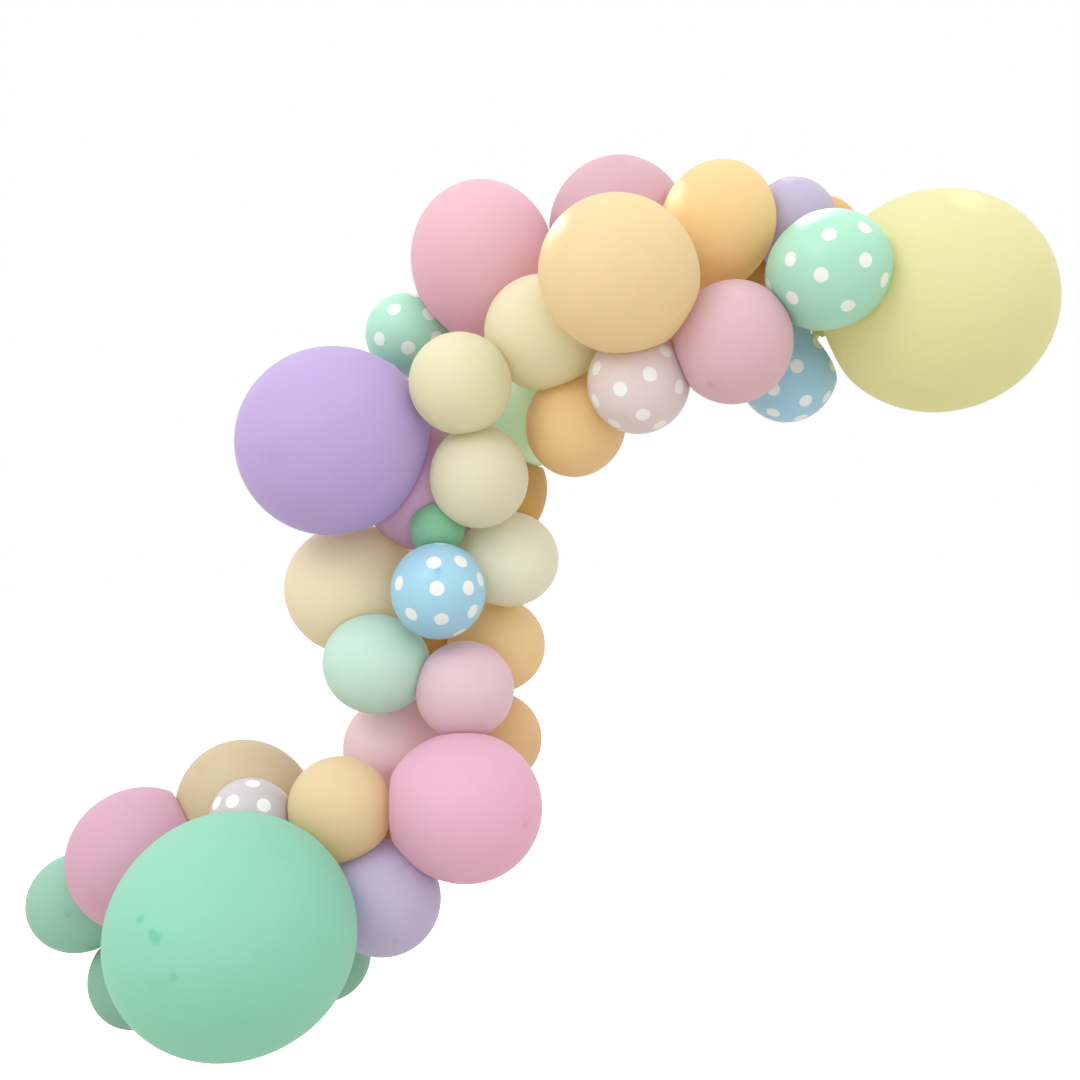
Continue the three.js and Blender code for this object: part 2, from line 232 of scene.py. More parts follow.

# Display codes of the balloons that are paler, deeper and warmer than their finish: partly the paler latex
# of balloons blown thinner, partly painted shade, deeper on balloons that sit in shadow, and painted light,
# lighter where shade falls and warmer where light comes through orange neighbours
OWN_TONES_AND_PAINTED_SHADING = {
    "mint_mid": "D4EFE2",
    "pink_small": "ECD3DC",
    "pink_mid_low": "F4DEE3",
    "pink_up_left": "E9C3CD",
    "pink_top": "DEBBC6",
    "pink_up_right": "E6C6CF",
    "pink_low_left": "DDB4C7",
    "lemon_left": "E9E6C6",
    "lemon_centre": "EAE7CD",
    "lemon_mid": "F0EFDC",
    "lemon_up": "F0EACA",
    "orange_big": "EEDBAF",
    "orange_mid": "F1D9A8",
    "orange_low": "EFDBB2",
    "orange_behind": "E9C384",
    "peach_low": "DACAAB",
    "sage_low_right": "93C0AA",
    "sage_low_left": "95C4AE",
    "sage_far_left": "A5D0BC",
    "orange_top": "F6DDA7",
    "lilac_low": "D2C7E4",
    "lilac_up": "CFC7DF",
    "lilac_behind": "E4BEDD",
    "sage_up": "EAFFEA",
    "peach_left": "F0E5C9",
    "peach_low_right": "E8CA9C",
    "blue_dots_right": "A6D2E8",
    "white_dots_low": "CCC5C8",
}


def tone(code):
    """Linear colour of a six-digit display code."""
    values = [int(code[i : i + 2], 16) / 255 for i in (0, 2, 4)]
    return tuple(v / 12.92 if v <= 0.04045 else ((v + 0.055) / 1.055) ** 2.4 for v in values)


def colour_setting(name, code, description):
    return bpy.props.FloatVectorProperty(
        name=name, description=description, subtype="COLOR", size=3, min=0.0, max=1.0, default=tone(code)
    )


class GarlandFinishes(bpy.types.PropertyGroup):
    pink: colour_setting("Pink", FINISH_CODES["pink"], "Colour of the pink latex")
    orange: colour_setting("Orange", FINISH_CODES["orange"], "Colour of the apricot latex")
    # The gold is painted shade: a darker, deeper copy of the apricot latex for the balloons in the shaded
    # gaps
    gold: colour_setting("Gold", FINISH_CODES["gold"], "Colour of the ochre latex in the gaps")
    lemon: colour_setting("Lemon", FINISH_CODES["lemon"], "Colour of the pale yellow latex")
    mint: colour_setting("Mint", FINISH_CODES["mint"], "Colour of the mint latex")
    sage: colour_setting("Sage", FINISH_CODES["sage"], "Colour of the muted green latex")
    peach: colour_setting("Peach", FINISH_CODES["peach"], "Colour of the beige peach latex")
    lilac: colour_setting("Lilac", FINISH_CODES["lilac"], "Colour of the lilac latex")
    green: colour_setting("Green", FINISH_CODES["green"], "Colour of the green latex")
    blue_dots: colour_setting(
        "Blue, dotted", FINISH_CODES["blue_dots"], "Ground colour of the blue dotted latex"
    )
    mint_dots: colour_setting(
        "Mint, dotted", FINISH_CODES["mint_dots"], "Ground colour of the mint dotted latex"
    )
    # The pink cast of this ground is painted light, the glow thrown by its pink neighbours
    white_dots: colour_setting(
        "White, dotted", FINISH_CODES["white_dots"], "Ground colour of the white dotted latex"
    )
    dot: colour_setting("Dots", FINISH_CODES["dot"], "Colour of the printed dots")
    tape: colour_setting("Tape", FINISH_CODES["tape"], "Colour of the clear tape")


class GarlandSizes(bpy.types.PropertyGroup):
    softness: bpy.props.FloatProperty(
        name="Soft contact",
        description="Width over which a balloon curves into the flat where its neighbour presses",
        default=0.005, min=0.001, max=0.04, unit="LENGTH",
    )
    dot_across: bpy.props.FloatProperty(
        name="Dot",
        description="Diameter of a printed dot",
        default=0.036, min=0.01, max=0.06, unit="LENGTH",
    )
    dot_pitch: bpy.props.FloatProperty(
        name="Dot spacing",
        description="Least distance between the centres of the dots round the back",
        default=0.068, min=0.03, max=0.15, unit="LENGTH",
    )
    crown_spot: bpy.props.FloatProperty(
        name="Crown spot",
        description="Radius of the thick spot at the crown of a balloon",
        default=0.007, min=0.0, max=0.02, unit="LENGTH",
    )
    see_through: bpy.props.FloatProperty(
        name="Glow",
        description="Share of the light that passes through the skin of a balloon",
        default=0.4, min=0.0, max=1.0, subtype="FACTOR",
    )
    pleats: bpy.props.IntProperty(
        name="Pleats", description="Number of pleats round a neck", default=9, min=3, max=20
    )
    hole_across: bpy.props.FloatProperty(
        name="Tape hole",
        description="Diameter of the holes along the tape",
        default=0.007, min=0.002, max=0.012, unit="LENGTH",
    )
    hole_pitch: bpy.props.FloatProperty(
        name="Hole spacing",
        description="Distance between the holes along the tape",
        default=0.025, min=0.012, max=0.1, unit="LENGTH",
    )


class GarlandStudio(bpy.types.PropertyGroup):
    sky: bpy.props.FloatProperty(
        name="Light from above", description="Brightness of the light from above", default=1.6, min=0.0
    )
    sides: bpy.props.FloatProperty(
        name="Light from the sides", description="Brightness of the light from the sides",
        default=1.1, min=0.0,
    )
    bounce: colour_setting("Light from below", "CFCCC5", "Colour that the floor throws up")
    key: bpy.props.FloatProperty(
        name="Key light", description="Power of the large lamp at the upper left",
        default=110.0, unit="POWER",
    )
    glint: bpy.props.FloatProperty(
        name="Glints", description="Power of each narrow lamp behind", default=650.0, unit="POWER"
    )
    floor_drop: bpy.props.FloatProperty(
        name="Floor drop",
        description="Distance from the lowest balloon down to the floor",
        default=0.7, min=0.0, unit="LENGTH",
    )
    floor_glow: bpy.props.FloatProperty(
        name="Floor glow", description="How far the floor is lifted to white", default=0.35, min=0.0
    )


class GarlandSettings(bpy.types.PropertyGroup):
    finishes: bpy.props.PointerProperty(type=GarlandFinishes, name="Finishes", description="The colours")
    sizes: bpy.props.PointerProperty(type=GarlandSizes, name="Sizes", description="The sizes")
    studio: bpy.props.PointerProperty(type=GarlandStudio, name="Studio", description="Light and floor")


def smooth_step(low, high, value):
    share = np.clip((value - low) / (high - low), 0.0, 1.0)
    return share * share * (3 - 2 * share)


def soft_least(a, b, width):
    """The lesser of two distances, rounded off where they are within a width of each other."""
    near = np.clip(width - np.abs(a - b), 0.0, None) / width
    return np.minimum(a, b) - near * near * width / 4


def drawn_out(degrees):
    """How far along the neck half an angle from the widest circle lies, over the neck's length."""
    return np.sin(np.radians(degrees)) + POINTED_END * (degrees / 90) ** 8


class Balloon:
    """A balloon's place and outline, read from its solid in the frame."""

    def __init__(self, name):
        mesh = frame["nodes"][name].data
        points = np.empty(len(mesh.vertices) * 3)
        mesh.vertices.foreach_get("co", points)
        points = points.reshape(-1, 3)
        faces = np.array([face.vertices[:] for face in mesh.polygons])
        a, b, c = (points[faces[:, k]] for k in range(3))
        normals = np.cross(b - a, c - a)
        areas = np.linalg.norm(normals, axis=1)
        normals /= np.maximum(areas, 1e-12)[:, None]
        spots = np.unique(points.round(6), axis=0)
        ahead = spots @ normals.T - (a * normals).sum(axis=1)
        smallest = math.inf
        for k in np.flatnonzero((ahead.max(axis=0) < FLAT_WITHIN) & (areas > LEAST_AREA)):
            rim = spots[ahead[:, k] > -FLAT_WITHIN]
            spread = np.ptp(rim, axis=0).max()
            if len(rim) >= LEAST_RIM and spread < smallest:
                smallest = spread
                self.neck = normals[k]
        self.name = name
        along = points @ self.neck
        lip = points[along > along.max() - LIP_WITHIN]
        lip_at = (lip.min(axis=0) + lip.max(axis=0)) / 2
        away = points - lip_at
        depth = -away @ self.neck
        radial = np.linalg.norm(away + np.outer(depth, self.neck), axis=1)
        widest = radial.argmax()
        self.radius = radial[widest]
        self.lip_at = depth[widest]
        self.centre = lip_at - self.neck * self.lip_at
        self.large = self.radius > LARGE_FROM
        self.throat_at = self.lip_at - (LARGE_STEM_LONG if self.large else SMALL_STEM_LONG)
        self.neck_length = self.throat_at / drawn_out(90.0)
        height = depth - self.lip_at
        crown = height > LEAST_HEIGHT
        inside = np.clip(1 - (radial / self.radius) ** 2, 1e-6, None)
        self.crown_length = (height[crown] / np.sqrt(inside[crown])).max()
        across = np.cross(self.neck, (0.0, 0.0, 1.0))
        self.side = across / np.linalg.norm(across)
        self.up = np.cross(self.side, self.neck)

    def neck_radius(self, along):
        """Radius of the neck cone at a distance from the centre."""
        degrees = np.linspace(0, 90, 91)
        reach = drawn_out(degrees) * self.neck_length
        return float(np.interp(along, reach, self.radius * np.cos(np.radians(degrees))))

    def planes(self, balloons):
        """Planes that press it flat, as (normal, distance from its centre)."""
        found = [(np.array((0.0, 1.0, 0.0)), -BACK_CLEARANCE - self.centre[1])]
        for other in balloons:
            between = other.centre - self.centre
            apart = np.linalg.norm(between)
            if other is self or apart > NEIGHBOUR_WITHIN * (self.radius + other.radius):
                continue
            reach = (apart**2 + self.radius**2 - other.radius**2) / (2 * apart)
            found.append((between / apart, reach - CONTACT_GAP / 2))
            for station in NECK_STATIONS:
                along = station * other.throat_at
                spot = between + other.neck * along
                far = np.linalg.norm(spot)
                found.append((spot / far, far - other.neck_radius(along) - CONTACT_GAP))
        return found


def outline(balloon, crown_rings, neck_rings):
    """Rings from the crown to the cup in the lip: radius, height towards the crown and angle."""
    crown = np.linspace(90, 0, crown_rings, endpoint=False)[1:]
    neck = np.linspace(0, 90, neck_rings)
    stem = np.array(LARGE_STEM if balloon.large else SMALL_STEM) / 1000
    throat = stem[0, 0]
    radius = np.concatenate([
        balloon.radius * np.cos(np.radians(crown)),
        np.hypot(balloon.radius * np.cos(np.radians(neck)), throat),
        stem[:, 0],
    ])
    height = np.concatenate([
        balloon.crown_length * np.sin(np.radians(crown)),
        -balloon.neck_length * drawn_out(neck),
        -balloon.throat_at - stem[:, 1],
    ])
    angle = np.concatenate([-crown, neck, 90 + np.arange(1, len(stem) + 1)])
    return radius, height, angle


def balloon_points(balloon, detail, sizes, balloons):
    """Vertices of a balloon, rings from the crown down between two end points, with each ring's angle."""
    segments, crown_rings, neck_rings = detail
    radius, height, angle = outline(balloon, crown_rings, neck_rings)
    turn = np.arange(segments) * 2 * math.pi / segments
    phase = sum(map(ord, balloon.name)) % 7
    ring, round_it = np.meshgrid(np.arange(len(radius)), turn, indexing="ij")
    angles = angle[ring]
    starts, deepest, ends = PLEATED
    pleat = smooth_step(starts, deepest, angles) * (1 - smooth_step(deepest, ends, angles))
    fold = np.cos(sizes.pleats * round_it + phase) + 0.6 * np.cos((sizes.pleats - 4) * round_it - phase)
    knot = smooth_step(*KNOTTED[:2], angles) * (1 - smooth_step(*KNOTTED[2:], angles))
    twist = np.cos(2 * round_it + 0.9 * angles) + 0.5 * np.cos(5 * round_it - 1.7 * angles)
    lip = smooth_step(*LIP_STARTS, angles)
    wave = np.cos(3 * round_it + phase) + 0.7 * np.cos(5 * round_it + 2 * phase)
    around = radius[ring] * (
        1 + PLEAT_DEPTH * pleat * fold + TWIST_DEPTH * knot * twist + WAVE_DEPTH * lip * wave
    )
    lift = LIP_LIFT * lip * np.cos(2 * round_it + phase) * (2 if balloon.large else 1)
    along = height[ring] - lift
    stem_end = height[-1] + 0.0004
    body = np.stack([around * np.cos(round_it), around * np.sin(round_it), along], axis=-1).reshape(-1, 3)
    body = np.vstack([[0, 0, balloon.crown_length], body, [0, 0, stem_end]])
    angles = np.concatenate([[-90], angles.ravel(), [angle[-1]]])
    base = np.stack([balloon.side, balloon.up, -balloon.neck])
    seen = body @ base
    far = np.linalg.norm(seen, axis=1)
    toward = seen / far[:, None]
    kept = far.copy()
    for normal, reach in balloon.planes(balloons):
        slant = toward @ normal
        limit = np.where(slant > LEAST_SLANT, reach / np.maximum(slant, LEAST_SLANT), 10.0)
        kept = soft_least(kept, limit, sizes.softness)
    give = 1 - smooth_step(*GIVES_WAY, angles)
    seen *= (1 - give * (1 - kept / far))[:, None]
    return seen + balloon.centre, angles


def lathe_faces(segments, rings):
    """Faces of a turned mesh: a fan at each end and squares between."""
    faces = [(0, 1 + j, 1 + (j + 1) % segments) for j in range(segments)]
    for i in range(rings - 1):
        for j in range(segments):
            a = 1 + i * segments + j
            b = 1 + i * segments + (j + 1) % segments
            faces.append((a, a + segments, b + segments, b))
    last = 1 + rings * segments
    start = last - segments
    faces += [(last, start + (j + 1) % segments, start + j) for j in range(segments)]
    return faces


def point_seen_at(points, normals, pixel):
    """The point of a surface that shows at a pixel of the photograph."""
    scale = CAMERA_LENS / CAMERA_SENSOR * FRAME_PIXELS
    ray = np.array([(pixel[0] - FRAME_PIXELS / 2) / scale, 1.0, (FRAME_PIXELS / 2 - pixel[1]) / scale])
    ray /= np.linalg.norm(ray)
    away = points - np.array(CAMERA_AT)
    miss = np.linalg.norm(away - np.outer(away @ ray, ray), axis=1)
    miss[np.einsum("ij,ij->i", normals, away) > 0] += 1.0
    near = miss.argmin()
    facing = normals[near] @ ray
    if facing > -0.05:
        return points[near]
    return np.array(CAMERA_AT) + ray * (normals[near] @ away[near]) / facing


def spread_dots(body, normals, seen, pitch):
    """Dot centres over the whole body: those seen, then others round the sides and the back."""
    dots = [np.array(p) for p in seen]
    middle = (body.min(axis=0) + body.max(axis=0)) / 2
    ways = body - middle
    ways /= np.linalg.norm(ways, axis=1)[:, None]
    golden = math.pi * (3 - math.sqrt(5))
    for k in range(DOT_TRIES):
        z = 1 - 2 * (k + 0.5) / DOT_TRIES
        r = math.sqrt(1 - z * z)
        way = np.array((r * math.cos(golden * k), r * math.sin(golden * k), z))
        near = (ways @ way).argmax()
        at = body[near]
        hidden = normals[near] @ (at - np.array(CAMERA_AT)) > 0
        if hidden and all(np.linalg.norm(at - dot) > pitch for dot in dots):
            dots.append(at)
    return np.array(dots)


def nearest(points, centres):
    """Distance from each point to the nearest of some centres."""
    found = np.full(len(points), 1.0)
    for centre in centres:
        found = np.minimum(found, np.linalg.norm(points - centre, axis=1))
    return found


def add_attribute(mesh, name, values):
    layer = mesh.attributes.new(name, "FLOAT", "POINT")
    layer.data.foreach_set("value", np.asarray(values, dtype=np.float32))


def make_balloon(balloon, detail, settings, balloons):
    """One balloon as a smooth mesh in place of its solid, with what its finish needs to know."""
    name = balloon.name
    sizes = settings.sizes
    points, angles = balloon_points(balloon, detail, sizes, balloons)
    rings = (len(points) - 2) // detail[0]
    mesh = bpy.data.meshes.new(name + "_skin")
    mesh.from_pydata(points.tolist(), [], lathe_faces(detail[0], rings))
    mesh.shade_smooth()
    mesh.update()
    normals = np.empty(len(points) * 3)
    mesh.vertex_normals.foreach_get("vector", normals)
    normals = normals.reshape(-1, 3)
    crown = points[0]
    body = angles < BODY_ENDS
    marks = [(crown, sizes.crown_spot)]
    if name in MARKS_SEEN:
        marks = [(point_seen_at(points[body], normals[body], m[:2]), m[2]) for m in MARKS_SEEN[name]]
    spot = np.min(
        [np.linalg.norm(points - at, axis=1) / max(radius, 1e-4) for at, radius in marks], axis=0
    )
    if name not in MARKS_SEEN:
        spot = np.maximum(spot, FAINT_SPOT)
    from_crown = np.linalg.norm(points - crown, axis=1) / (CROWN_REACH * balloon.radius)
    thin = 1 - NECK_DEEPENS * smooth_step(*DEEP_NECK, angles)
    thin -= CROWN_DEEPENS * np.exp(-(from_crown**2))
    add_attribute(mesh, "thin", np.clip(thin, 0, 1))
    add_attribute(mesh, "spot", np.minimum(spot, NO_SPOT))
    if name in DOTS_SEEN:
        seen = [point_seen_at(points[body], normals[body], pixel) for pixel in DOTS_SEEN[name]]
        dots = spread_dots(points[body], normals[body], seen, sizes.dot_pitch)
        add_attribute(mesh, "dot", nearest(points, dots))
    piece = bpy.data.objects.new("balloon_" + name, mesh)
    bpy.context.scene.collection.objects.link(piece)
    mesh.materials.append(latex(name, settings))
    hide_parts(name)
    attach(piece, "root")


def add_node(tree, kind, inputs=None, **settings):
    """A node with its settings and its inputs, each a plain value or another node's output."""
    node = tree.nodes.new(kind)
    for key, value in settings.items():
        setattr(node, key, value)
    for key, value in (inputs or {}).items():
        if isinstance(value, bpy.types.NodeSocket):
            tree.links.new(value, node.inputs[key])
        else:
            node.inputs[key].default_value = value
    return node


def new_group(name, sockets):
    """An empty node group with its (in or out, kind, name, default) sockets, and its two end nodes."""
    group = bpy.data.node_groups.new(name, "ShaderNodeTree")
    for direction, kind, label, default in sockets:
        made = group.interface.new_socket(name=label, in_out=direction, socket_type="NodeSocket" + kind)
        if default is not None:
            made.default_value = default
    return group, group.nodes.new("NodeGroupInput"), group.nodes.new("NodeGroupOutput")


def latex_tone_group():
    """Colour of stretched latex: deeper where it is thick, mottled, with soft dark spots."""
    if "Latex tone" in bpy.data.node_groups:
        return bpy.data.node_groups["Latex tone"]
    group, ends, out = new_group("Latex tone", [
        ("INPUT", "Color", "Colour", (0.8, 0.8, 0.8, 1)),
        ("INPUT", "Color", "Deep", (0.5, 0.5, 0.5, 1)),
        ("INPUT", "Float", "Mottle", 0.04),
        ("OUTPUT", "Color", "Colour", None),
        ("OUTPUT", "Float", "Roughness shift", None),
        ("OUTPUT", "Float", "Height", None),
    ])
    place = add_node(group, "ShaderNodeTexCoord").outputs["Object"]
    thin = add_node(group, "ShaderNodeAttribute", attribute_name="thin").outputs["Fac"]
    spot = add_node(group, "ShaderNodeAttribute", attribute_name="spot").outputs["Fac"]
    cloud = add_node(group, "ShaderNodeTexNoise", {"Vector": place, "Scale": 11.0, "Detail": 3.0})
    fleck = add_node(group, "ShaderNodeTexNoise", {"Vector": place, "Scale": 140.0, "Detail": 2.0})
    grain = add_node(group, "ShaderNodeTexNoise", {"Vector": place, "Scale": 900.0, "Detail": 2.0})
    base = add_node(
        group, "ShaderNodeMix",
        {"Factor": thin, "A": ends.outputs["Deep"], "B": ends.outputs["Colour"]}, data_type="RGBA",
    ).outputs["Result"]
    uneven = add_node(
        group, "ShaderNodeMath", {0: cloud.outputs["Fac"], 1: fleck.outputs["Fac"]}, operation="ADD"
    ).outputs["Value"]
    shift = add_node(
        group, "ShaderNodeMath", {0: uneven, 1: 1.0}, operation="SUBTRACT"
    ).outputs["Value"]
    shift = add_node(
        group, "ShaderNodeMath", {0: shift, 1: ends.outputs["Mottle"]}, operation="MULTIPLY"
    ).outputs["Value"]
    light = add_node(group, "ShaderNodeMath", {0: shift, 1: 1.0}, operation="ADD").outputs["Value"]
    ragged = add_node(
        group, "ShaderNodeMath", {0: fleck.outputs["Fac"], 1: 0.5, 2: spot}, operation="MULTIPLY_ADD"
    ).outputs["Value"]
    dark = add_node(
        group, "ShaderNodeMapRange",
        {"Value": ragged, "From Min": 0.55, "From Max": 1.6, "To Min": 1.0, "To Max": 0.0},
        interpolation_type="SMOOTHSTEP",
    ).outputs["Result"]
    base = add_node(
        group, "ShaderNodeMix", {"Factor": dark, "A": base, "B": ends.outputs["Deep"]}, data_type="RGBA"
    ).outputs["Result"]
    base = add_node(
        group, "ShaderNodeVectorMath", {0: base, "Scale": light}, operation="SCALE"
    ).outputs["Vector"]
    rough = add_node(
        group, "ShaderNodeMapRange",
        {"Value": uneven, "From Min": 0.6, "From Max": 1.4, "To Min": -0.05, "To Max": 0.05},
    ).outputs["Result"]
    group.links.new(base, out.inputs["Colour"])
    group.links.new(rough, out.inputs["Roughness shift"])
    group.links.new(grain.outputs["Fac"], out.inputs["Height"])
    return group


def printed_dots_group():
    """Round dots printed on latex, from each point's distance to the nearest dot's centre."""
    if "Printed dots" in bpy.data.node_groups:
        return bpy.data.node_groups["Printed dots"]
    group, ends, out = new_group("Printed dots", [
        ("INPUT", "Color", "Ground", (0.8, 0.8, 0.8, 1)),
        ("INPUT", "Color", "Ink", (0.9, 0.9, 0.9, 1)),
        ("INPUT", "Float", "Radius", 0.018),
        ("OUTPUT", "Color", "Colour", None),
        ("OUTPUT", "Float", "Mask", None),
    ])
    place = add_node(group, "ShaderNodeTexCoord").outputs["Object"]
    far = add_node(group, "ShaderNodeAttribute", attribute_name="dot").outputs["Fac"]
    wobble = add_node(group, "ShaderNodeTexNoise", {"Vector": place, "Scale": 60.0, "Detail": 1.0})
    edge = add_node(
        group, "ShaderNodeMath", {0: wobble.outputs["Fac"], 1: 0.0025, 2: far}, operation="MULTIPLY_ADD"
    ).outputs["Value"]
    past = add_node(
        group, "ShaderNodeMath", {0: edge, 1: ends.outputs["Radius"]}, operation="SUBTRACT"
    ).outputs["Value"]
    mask = add_node(
        group, "ShaderNodeMapRange",
        {"Value": past, "From Min": 0.0004, "From Max": 0.0022, "To Min": 1.0, "To Max": 0.0},
        interpolation_type="SMOOTHSTEP",
    ).outputs["Result"]
    colour = add_node(
        group, "ShaderNodeMix",
        {"Factor": mask, "A": ends.outputs["Ground"], "B": ends.outputs["Ink"]}, data_type="RGBA",
    ).outputs["Result"]
    group.links.new(colour, out.inputs["Colour"])
    group.links.new(mask, out.inputs["Mask"])
    return group


def deeper(colour, strength=DEEPER):
    """A colour as thicker latex shows it: the same hue, darker and more saturated."""
    return tuple(channel**strength for channel in colour)


def latex_colour(balloon, settings):
    """The colour of a balloon: that of its finish, shifted where the balloon has its own tone, which is
    partly painted light and shade.
    """
    slot = SLOT_OF[balloon]
    colour = getattr(settings.finishes, slot)
    own = tone(OWN_TONES_AND_PAINTED_SHADING.get(balloon, FINISH_CODES[slot]))
    plain = tone(FINISH_CODES[slot])
    return tuple(min(channel * a / b, 1.0) for channel, a, b in zip(colour, own, plain))


def latex(balloon, settings):
    """The latex of a balloon, shared by all balloons of its finish that have no tone of their own; a
    balloon with its own tone, partly painted light and shade, gets a latex of its own.
    """
    slot = SLOT_OF[balloon]
    name = "latex_" + (balloon if balloon in OWN_TONES_AND_PAINTED_SHADING else slot)
    if name in bpy.data.materials:
        return bpy.data.materials[name]
    printed = slot.endswith("_dots")
    look = PRINTED_LATEX if printed else PLAIN_LATEX
    colour = latex_colour(balloon, settings)
    material = bpy.data.materials.new(name)
    material.use_nodes = True
    tree = material.node_tree
    shader = tree.nodes["Principled BSDF"]
    base = add_node(
        tree, "ShaderNodeGroup",
        {"Colour": (*colour, 1), "Deep": (*deeper(colour), 1), "Mottle": LATEX_MOTTLE},
        node_tree=latex_tone_group(),
    )
    rough = add_node(
        tree, "ShaderNodeMath", {0: base.outputs["Roughness shift"], 1: look["roughness"]}, operation="ADD"
    ).outputs["Value"]
    shown = base.outputs["Colour"]
    if printed:
        shown = add_node(
            tree, "ShaderNodeGroup",
            {
                "Ground": shown,
                "Ink": (*settings.finishes.dot, 1),
                "Radius": settings.sizes.dot_across / 2,
            },
            node_tree=printed_dots_group(),
        ).outputs["Colour"]
    bump = add_node(
        tree, "ShaderNodeBump", {"Height": base.outputs["Height"], "Strength": 0.12, "Distance": 0.0004}
    )
    tree.links.new(shown, shader.inputs["Base Color"])
    tree.links.new(rough, shader.inputs["Roughness"])
    tree.links.new(bump.outputs["Normal"], shader.inputs["Normal"])
    shader.inputs["IOR"].default_value = LATEX_IOR
    shader.inputs["Specular IOR Level"].default_value = look["gloss"]
    shader.inputs["Sheen Weight"].default_value = look["sheen"]
    shader.inputs["Sheen Roughness"].default_value = SHEEN_ROUGHNESS
    shader.inputs["Sheen Tint"].default_value = (1, 1, 1, 1)
    through = add_node(
        tree, "ShaderNodeBsdfTranslucent", {"Color": (*colour, 1), "Normal": bump.outputs["Normal"]}
    )
    share = settings.sizes.see_through * look["glow"]
    skin = add_node(
        tree, "ShaderNodeMixShader", {0: share, 1: shader.outputs["BSDF"], 2: through.outputs["BSDF"]}
    )
    tree.links.new(skin.outputs["Shader"], tree.nodes["Material Output"].inputs["Surface"])
    return material


def clear_plastic(settings):
    """The finish of the clear tape: a pale, slightly cloudy flexible plastic."""
    material = bpy.data.materials.new("clear_plastic")
    material.use_nodes = True
    tree = material.node_tree
    shader = tree.nodes["Principled BSDF"]
    place = add_node(tree, "ShaderNodeTexCoord").outputs["Object"]
    cloud = add_node(tree, "ShaderNodeTexNoise", {"Vector": place, "Scale": 30.0, "Detail": 4.0})
    scratch = add_node(tree, "ShaderNodeTexNoise", {"Vector": place, "Scale": 400.0, "Detail": 2.0})
    colour = tuple(settings.finishes.tape)
    tint = add_node(
        tree, "ShaderNodeMix",
        {"Factor": cloud.outputs["Fac"], "A": (*deeper(colour, TAPE_DEEPER), 1), "B": (*colour, 1)},
        data_type="RGBA",
    ).outputs["Result"]
    rough = add_node(
        tree, "ShaderNodeMapRange", {"Value": scratch.outputs["Fac"], "To Min": 0.12, "To Max": 0.4}
    ).outputs["Result"]
    bump = add_node(
        tree, "ShaderNodeBump", {"Height": cloud.outputs["Fac"], "Strength": 0.3, "Distance": 0.001}
    )
    tree.links.new(tint, shader.inputs["Base Color"])
    tree.links.new(rough, shader.inputs["Roughness"])
    tree.links.new(bump.outputs["Normal"], shader.inputs["Normal"])
    shader.inputs["IOR"].default_value = TAPE_IOR
    shader.inputs["Transmission Weight"].default_value = TAPE_CLEARNESS
    return material


def smooth_route(corners):
    """Points of the smooth curve through some corners."""
    corners = np.array(corners)
    ends = len(corners) - 1
    share = np.linspace(0, 1, ROUTE_STEPS, endpoint=False)[:, None]
    points = []
    for i in range(ends):
        start, stop = corners[i], corners[i + 1]
        leave = (stop - corners[max(i - 1, 0)]) / 2
        arrive = (corners[min(i + 2, ends)] - start) / 2
        points.append(
            (2 * start - 2 * stop + leave + arrive) * share**3
            + (3 * stop - 3 * start - 2 * leave - arrive) * share**2
            + leave * share
            + start
        )
    return np.vstack([*points, corners[-1]])


def tape_cell(pitch, hole_across):
    """One length of tape with a hole: its edge and the hole's edge, point for point, as (along, across)."""
    half_long, half_wide = pitch / 2, TAPE_WIDTH / 2
    side = np.linspace(-1, 1, END_STEPS, endpoint=False)
    top = np.linspace(-1, 1, SIDE_STEPS, endpoint=False)
    edge = np.concatenate([
        np.stack([np.full(END_STEPS, half_long), side * half_wide], axis=1),
        np.stack([-top * half_long, np.full(SIDE_STEPS, half_wide)], axis=1),
        np.stack([np.full(END_STEPS, -half_long), -side * half_wide], axis=1),
        np.stack([top * half_long, np.full(SIDE_STEPS, -half_wide)], axis=1),
    ])
    turn = np.arctan2(edge[:, 1], edge[:, 0])
    hole = np.stack([np.cos(turn), np.sin(turn)], axis=1) * hole_across / 2
    return edge, hole


